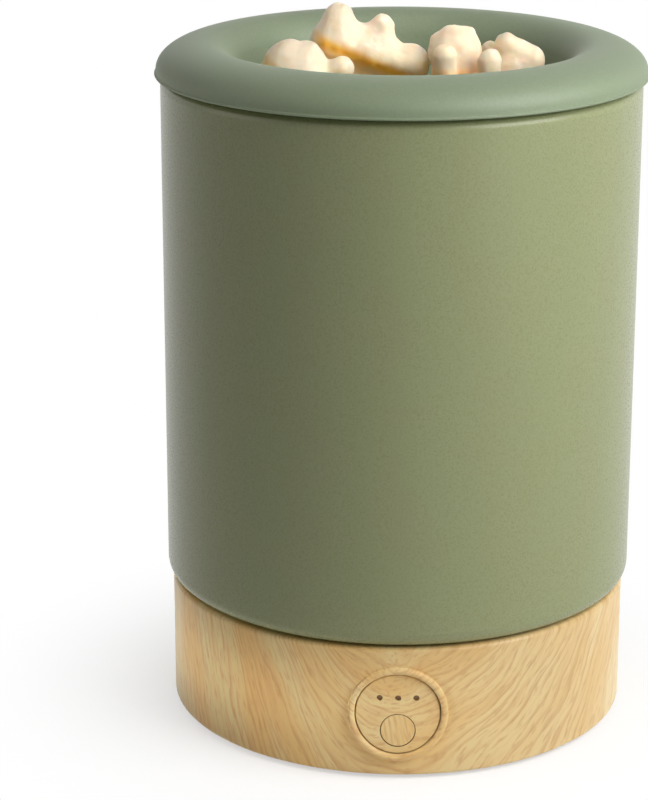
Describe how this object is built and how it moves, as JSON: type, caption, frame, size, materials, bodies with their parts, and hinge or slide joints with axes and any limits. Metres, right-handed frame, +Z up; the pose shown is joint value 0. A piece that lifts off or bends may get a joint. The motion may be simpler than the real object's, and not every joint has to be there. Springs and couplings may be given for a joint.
{
  "type": "wax melt warmer",
  "caption": "Round wax melt warmer: wood-look base with a button, tall green ceramic body and a lift-off silicone dish with wax melts.",
  "frame": {"origin": "on the table, at the middle of the round base, level with the undersides of the four feet", "axes": "+Z up along the body's axis, the button panel faces -Y and the power inlet faces +Y"},
  "size_m": [0.1126, 0.1126, 0.1675],
  "materials": {
    "wood_print": "satin film printed as pale wood",
    "green_ceramic": "satin speckled",
    "green_silicone": "soft matte",
    "wax": "translucent waxy",
    "dark_plastic": "matte",
    "white_plastic": "satin",
    "base_plastic": "matte textured",
    "heat_plastic": "matte, glass filled",
    "clear_plastic": "clear gloss",
    "board": "semi gloss",
    "steel": "plated",
    "aluminium": "turned",
    "brass": "plated",
    "black_rubber": "matte",
    "pale_rubber": "matte",
    "red_insulation": "satin",
    "white_insulation": "satin",
    "copper": "enamelled",
    "chip_black": "matte"
  },
  "bodies": {
    "warmer": {"wood_base_housing": "wood_print", "base_plate": "base_plastic", "base_plate_screws": "steel", "rubber_foot_1": "black_rubber", "rubber_foot_2": "black_rubber", "rubber_foot_3": "black_rubber", "rubber_foot_4": "black_rubber", "control_panel": "wood_print", "light_guide": "clear_plastic", "control_board": "board", "control_board_screws": "steel", "tact_switch": "dark_plastic", "indicator_leds": "clear_plastic", "main_board": "board", "main_board_screws": "steel", "controller_chip": "chip_black", "power_transistor": "chip_black", "filter_capacitor": "dark_plastic", "power_coil": "copper", "heater_socket": "white_plastic", "sensor_socket": "white_plastic", "ribbon_socket": "white_plastic", "ribbon_cable": "white_insulation", "dc_jack": "dark_plastic", "dc_jack_pin": "brass", "deck_gasket": "black_rubber", "ceramic_body": "green_ceramic", "hot_plate": "aluminium", "heater_holder": "heat_plastic", "holder_screws": "steel", "heating_element": "aluminium", "element_strap": "steel", "element_screws": "steel", "thermal_fuse": "white_plastic", "fuse_link_wire": "white_insulation", "thermistor": "brass", "thermistor_screw": "steel", "clamp_screws": "steel", "stand_washers": "pale_rubber", "heater_standoff_1": "steel", "heater_standoff_2": "steel", "heater_standoff_3": "steel", "heat_shield": "steel", "shield_spacers": "steel", "stand_nuts": "steel", "wire_grommet": "black_rubber", "heater_wire_1": "red_insulation", "heater_wire_2": "red_insulation", "sensor_wire_1": "white_insulation", "sensor_wire_2": "white_insulation"},
    "button": {"power_button": "wood_print", "switch_plunger": "dark_plastic"},
    "dish": {"silicone_dish": "green_silicone"},
    "wax": {"wax_melt_1": "wax", "wax_melt_2": "wax", "wax_melt_3": "wax", "wax_melt_4": "wax"}
  },
  "joints": [
    {"name": "button_press", "type": "slide", "parent": "warmer", "child": "button", "axis": [0, 1, 0], "range_m": [0, 0.0006], "stiffness_N_per_m": 3000, "springref_m": -0.0003},
    {"name": "dish_lift", "type": "slide", "parent": "warmer", "child": "dish", "axis": [0, 0, 1], "range_m": [0, 0.04]},
    {"name": "wax_lift", "type": "slide", "parent": "dish", "child": "wax", "axis": [0, 0, 1], "range_m": [0, 0.03]}
  ]
}
